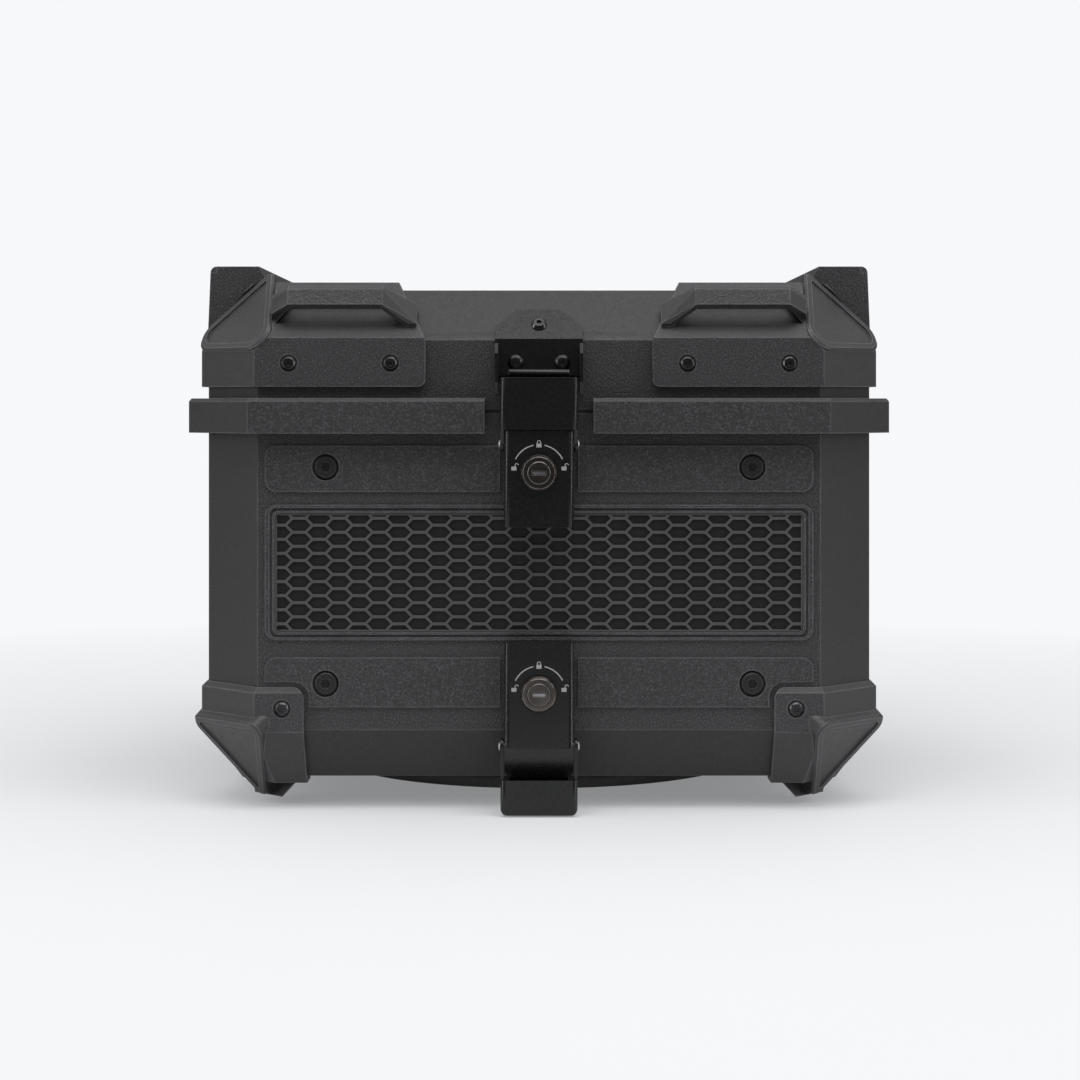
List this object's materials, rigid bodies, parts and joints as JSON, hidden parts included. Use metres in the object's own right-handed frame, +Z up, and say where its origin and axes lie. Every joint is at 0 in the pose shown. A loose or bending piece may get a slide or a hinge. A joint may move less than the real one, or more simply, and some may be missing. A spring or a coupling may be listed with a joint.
{
  "type": "motorcycle top case",
  "caption": "Box-shaped motorcycle top case with chamfered corners, hinged lid, corner handles, side grab rails, draw latches with turning locks and a rack plate.",
  "frame": {"origin": "centre of the mounting plate's underside, where it rests on the luggage rack", "axes": "+Z up, -Y out of the face with the latches, +X to the right when looking at that face"},
  "size_m": [0.429, 0.3936, 0.33],
  "materials": {
    "case_shell": "fine-grained dark grey moulded plastic",
    "corner_trim": "fine-grained dark grey moulded plastic, slightly smoother than the shell",
    "honeycomb": "satin black-grey moulded plastic",
    "plate_plastic": "matt black moulded plastic",
    "seal_rubber": "matt black",
    "mat_fabric": "dark grey felt",
    "coated_steel": "fine-textured black powder coat on sheet steel",
    "bright_steel": "plain bright steel",
    "dark_screw": "black oxide steel",
    "lock_chrome": "dark bronze-black chrome"
  },
  "bodies": {
    "plate": {"mount_plate": "plate_plastic", "plate_pads": "seal_rubber", "plate_keeper": "coated_steel", "plate_keeper_screws": "bright_steel"},
    "case": {"tub": "case_shell", "tub_gasket": "seal_rubber", "floor_mat": "mat_fabric", "wall_bolts": "plate_plastic", "honeycomb_front": "honeycomb", "honeycomb_rear": "honeycomb", "honeycomb_left": "honeycomb", "honeycomb_right": "honeycomb", "foot_guard_front_left": "corner_trim", "foot_guard_front_right": "corner_trim", "foot_guard_rear_left": "corner_trim", "foot_guard_rear_right": "corner_trim", "foot_guard_screws": "dark_screw", "hinge_leaves_tub": "coated_steel", "hinge_pins": "bright_steel", "hinge_screws_tub": "dark_screw", "upper_latch_base": "coated_steel", "upper_latch_pin": "bright_steel", "lower_latch_base": "coated_steel", "lower_latch_pin": "bright_steel", "latch_base_rivets": "bright_steel"},
    "lid": {"lid_shell": "case_shell", "handle_front_left": "corner_trim", "handle_front_right": "corner_trim", "handle_rear_left": "corner_trim", "handle_rear_right": "corner_trim", "handle_screws": "dark_screw", "grab_rail_left": "corner_trim", "grab_rail_right": "corner_trim", "lid_keeper": "coated_steel", "lid_keeper_screws": "dark_screw", "hinge_leaves_lid": "coated_steel", "hinge_screws_lid": "dark_screw"},
    "upper_lever": {"upper_lever": "coated_steel", "upper_lock_bezel": "lock_chrome", "upper_lever_rivets": "bright_steel"},
    "upper_hasp": {"upper_hasp": "coated_steel"},
    "upper_plug": {"upper_lock_plug": "lock_chrome", "upper_lock_cam": "bright_steel"},
    "lower_lever": {"lower_lever": "coated_steel", "lower_lock_bezel": "lock_chrome", "lower_lever_rivets": "bright_steel"},
    "lower_hasp": {"lower_hasp": "coated_steel"},
    "lower_plug": {"lower_lock_plug": "lock_chrome", "lower_lock_cam": "bright_steel"}
  },
  "joints": [
    {"name": "case_tilt", "type": "hinge", "parent": "plate", "child": "case", "pos_m": [0, 0.135, 0.018], "axis": [-1, 0, 0], "range_deg": [0, 18]},
    {"name": "lid_hinge", "type": "hinge", "parent": "case", "child": "lid", "pos_m": [0, 0.189, 0.23], "axis": [-1, 0, 0], "range_deg": [0, 95]},
    {"name": "upper_lever_hinge", "type": "hinge", "parent": "case", "child": "upper_lever", "pos_m": [0, -0.184, 0.231], "axis": [-1, 0, 0], "range_deg": [0, 60]},
    {"name": "upper_hasp_hinge", "type": "hinge", "parent": "upper_lever", "child": "upper_hasp", "pos_m": [0, -0.184, 0.221], "axis": [-1, 0, 0], "range_deg": [-57, 0]},
    {"name": "upper_lock_turn", "type": "hinge", "parent": "upper_lever", "child": "upper_plug", "pos_m": [0, -0.195, 0.204], "axis": [0, -1, 0], "range_deg": [-90, 90]},
    {"name": "lower_lever_hinge", "type": "hinge", "parent": "case", "child": "lower_lever", "pos_m": [0, -0.1795, 0.031], "axis": [1, 0, 0], "range_deg": [0, 90]},
    {"name": "lower_hasp_hinge", "type": "hinge", "parent": "lower_lever", "child": "lower_hasp", "pos_m": [0, -0.186, 0.0414], "axis": [1, 0, 0], "range_deg": [-108, 0]},
    {"name": "lower_lock_turn", "type": "hinge", "parent": "lower_lever", "child": "lower_plug", "pos_m": [0, -0.195, 0.0732], "axis": [0, -1, 0], "range_deg": [-90, 90]}
  ],
  "couplings": [
    {"joint": "upper_hasp_hinge", "follows": "upper_lever_hinge", "ratio": -0.95},
    {"joint": "lower_hasp_hinge", "follows": "lower_lever_hinge", "ratio": -1.2}
  ]
}
